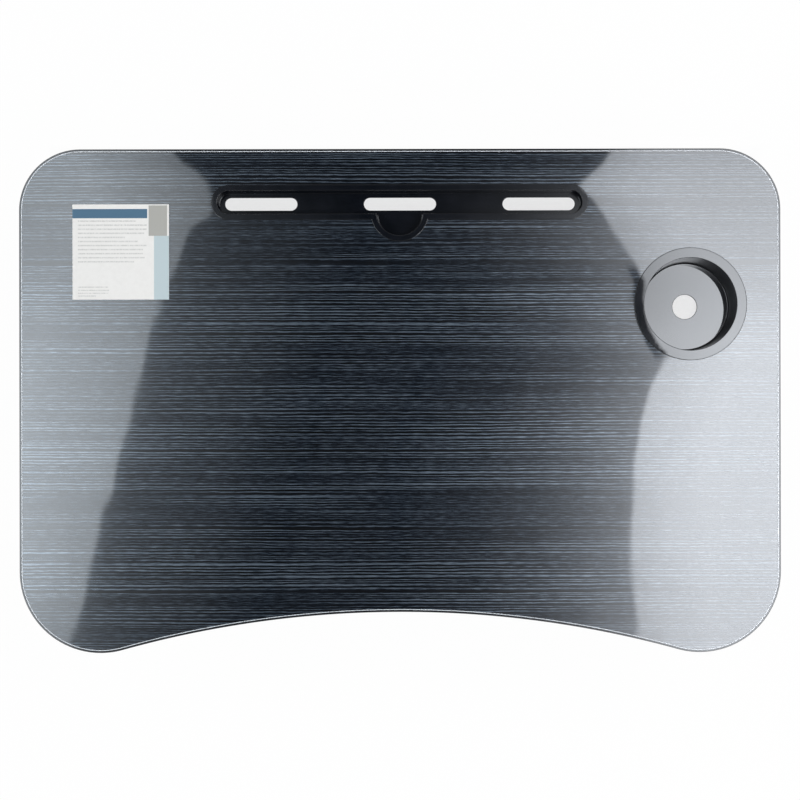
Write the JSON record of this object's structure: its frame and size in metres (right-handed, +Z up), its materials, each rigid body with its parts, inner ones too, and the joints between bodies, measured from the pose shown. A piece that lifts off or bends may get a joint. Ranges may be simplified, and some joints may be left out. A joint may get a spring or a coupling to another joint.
{
  "type": "folding laptop table",
  "caption": "Low folding table for a laptop: a dark wood-grained board with a slot tray and a cup holder, on bent steel legs that fold flat under it.",
  "frame": {"origin": "on the floor, under the middle of the table's box, with both legs open", "axes": "+X along the table's length towards the cup holder's end, +Y towards the rear edge with the slot tray, +Z up"},
  "size_m": [0.6, 0.397, 0.2813],
  "materials": {
    "grain_laminate": "dark blue-black wood grain print under a gloss film",
    "fibreboard": "raw fibreboard",
    "backing": "black melamine backing",
    "edge_band": "black edge band with rounded edges",
    "black_moulding": "black moulded plastic",
    "label_paper": "white paper label with plain colour blocks",
    "painted_steel": "black powder coat",
    "zinc_steel": "zinc plated",
    "white_nylon": "natural nylon",
    "black_nylon": "black nylon",
    "black_rubber": "black rubber"
  },
  "bodies": {
    "tabletop": {"top_laminate": "grain_laminate", "board_core": "fibreboard", "backing_sheet": "backing", "edge_band": "edge_band", "slot_tray": "black_moulding", "cup_holder": "black_moulding", "label": "label_paper", "left_front_bracket": "painted_steel", "left_rear_bracket": "painted_steel", "right_front_bracket": "painted_steel", "right_rear_bracket": "painted_steel", "left_front_bracket_screw_1": "zinc_steel", "left_front_bracket_screw_2": "zinc_steel", "left_front_bracket_screw_3": "zinc_steel", "left_front_bracket_screw_4": "zinc_steel", "left_rear_bracket_screw_1": "zinc_steel", "left_rear_bracket_screw_2": "zinc_steel", "left_rear_bracket_screw_3": "zinc_steel", "left_rear_bracket_screw_4": "zinc_steel", "right_front_bracket_screw_1": "zinc_steel", "right_front_bracket_screw_2": "zinc_steel", "right_front_bracket_screw_3": "zinc_steel", "right_front_bracket_screw_4": "zinc_steel", "right_rear_bracket_screw_1": "zinc_steel", "right_rear_bracket_screw_2": "zinc_steel", "right_rear_bracket_screw_3": "zinc_steel", "right_rear_bracket_screw_4": "zinc_steel", "left_front_pin": "zinc_steel", "left_rear_pin": "zinc_steel", "right_front_pin": "zinc_steel", "right_rear_pin": "zinc_steel", "left_front_inner_washer": "white_nylon", "left_front_outer_washer": "white_nylon", "left_rear_inner_washer": "white_nylon", "left_rear_outer_washer": "white_nylon", "right_front_inner_washer": "white_nylon", "right_front_outer_washer": "white_nylon", "right_rear_inner_washer": "white_nylon", "right_rear_outer_washer": "white_nylon", "left_leg_clip": "black_nylon", "right_leg_clip": "black_nylon", "left_clip_front_screw": "zinc_steel", "left_clip_rear_screw": "zinc_steel", "right_clip_front_screw": "zinc_steel", "right_clip_rear_screw": "zinc_steel"},
    "left_leg": {"left_leg_tube": "painted_steel", "left_front_knuckle": "black_nylon", "left_rear_knuckle": "black_nylon", "left_front_foot": "black_rubber", "left_rear_foot": "black_rubber"},
    "right_leg": {"right_leg_tube": "painted_steel", "right_front_knuckle": "black_nylon", "right_rear_knuckle": "black_nylon", "right_front_foot": "black_rubber", "right_rear_foot": "black_rubber"}
  },
  "joints": [
    {"name": "left_leg_fold", "type": "hinge", "parent": "tabletop", "child": "left_leg", "pos_m": [-0.268, 0, 0.2527], "axis": [0, -1, 0], "range_deg": [0, 94.9]},
    {"name": "right_leg_fold", "type": "hinge", "parent": "tabletop", "child": "right_leg", "pos_m": [0.268, 0, 0.2527], "axis": [0, 1, 0], "range_deg": [0, 94.9]}
  ]
}
